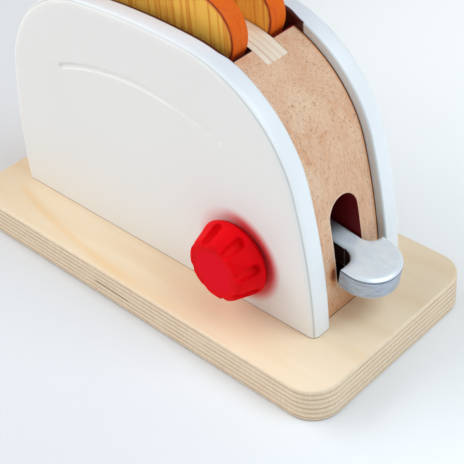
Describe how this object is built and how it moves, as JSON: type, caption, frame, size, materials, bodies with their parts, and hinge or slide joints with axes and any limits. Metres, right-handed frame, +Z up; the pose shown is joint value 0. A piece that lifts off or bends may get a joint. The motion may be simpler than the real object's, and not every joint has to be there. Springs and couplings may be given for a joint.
{
  "type": "toy toaster",
  "caption": "Wooden pop-up toy toaster: arched painted panels on a plywood base, rocking lever, turning knob and two bread slices.",
  "frame": {"origin": "centre of the underside of the base", "axes": "+X along the base towards the lever, -Y towards the knob, +Z up"},
  "size_m": [0.24, 0.11, 0.1663],
  "materials": {
    "base_plywood": "clear satin birch plywood with its ply edges showing",
    "white_paint": "satin white paint on board",
    "block_wood": "oiled beech with fine dark flecks",
    "divider_plywood": "birch plywood, edge up",
    "lever_silver": "silver paint on plywood",
    "red_lacquer": "glossy red lacquer on turned wood",
    "toast_wood": "stained board, darker at the crust",
    "hardwood": "plain beech dowel",
    "carrier_plywood": "thin plywood",
    "steel": "bright steel",
    "felt": "pressed wool felt",
    "nylon": "natural nylon"
  },
  "bodies": {
    "root": {"base_plate": "base_plywood", "front_panel": "white_paint", "back_panel": "white_paint", "end_block_right": "block_wood", "end_block_left": "block_wood", "slot_divider": "divider_plywood", "panel_dowels": "hardwood", "base_screws": "steel", "lever_pivot": "steel", "lever_spacers": "nylon", "guide_rods": "steel"},
    "lever_body": {"lever": "lever_silver", "lift_peg": "hardwood"},
    "carrier_body": {"toast_carrier": "carrier_plywood"},
    "toast_front_body": {"toast_front": "toast_wood"},
    "toast_rear_body": {"toast_rear": "toast_wood"},
    "knob_body": {"knob": "red_lacquer", "knob_shaft": "hardwood", "knob_felt": "felt", "knob_washer": "steel", "knob_screw": "steel"}
  },
  "joints": [
    {"name": "lever_rock", "type": "hinge", "parent": "root", "child": "lever_body", "pos_m": [0.0395, 0.0065, 0.05165], "axis": [0, -1, 0], "range_deg": [0, 21]},
    {"name": "carrier_lift", "type": "slide", "parent": "root", "child": "carrier_body", "axis": [0, 0, 1], "range_m": [-0.0162, 0]},
    {"name": "toast_front_out", "type": "slide", "parent": "carrier_body", "child": "toast_front_body", "axis": [0, 0, 1], "range_m": [0, 0.09]},
    {"name": "toast_rear_out", "type": "slide", "parent": "carrier_body", "child": "toast_rear_body", "axis": [0, 0, 1], "range_m": [0, 0.09]},
    {"name": "knob_turn", "type": "hinge", "parent": "root", "child": "knob_body", "pos_m": [0.0526, -0.0275, 0.0453], "axis": [0, -1, 0], "continuous": true}
  ],
  "couplings": [
    {"joint": "carrier_lift", "follows": "lever_rock", "m_per_rad": -0.0439}
  ]
}
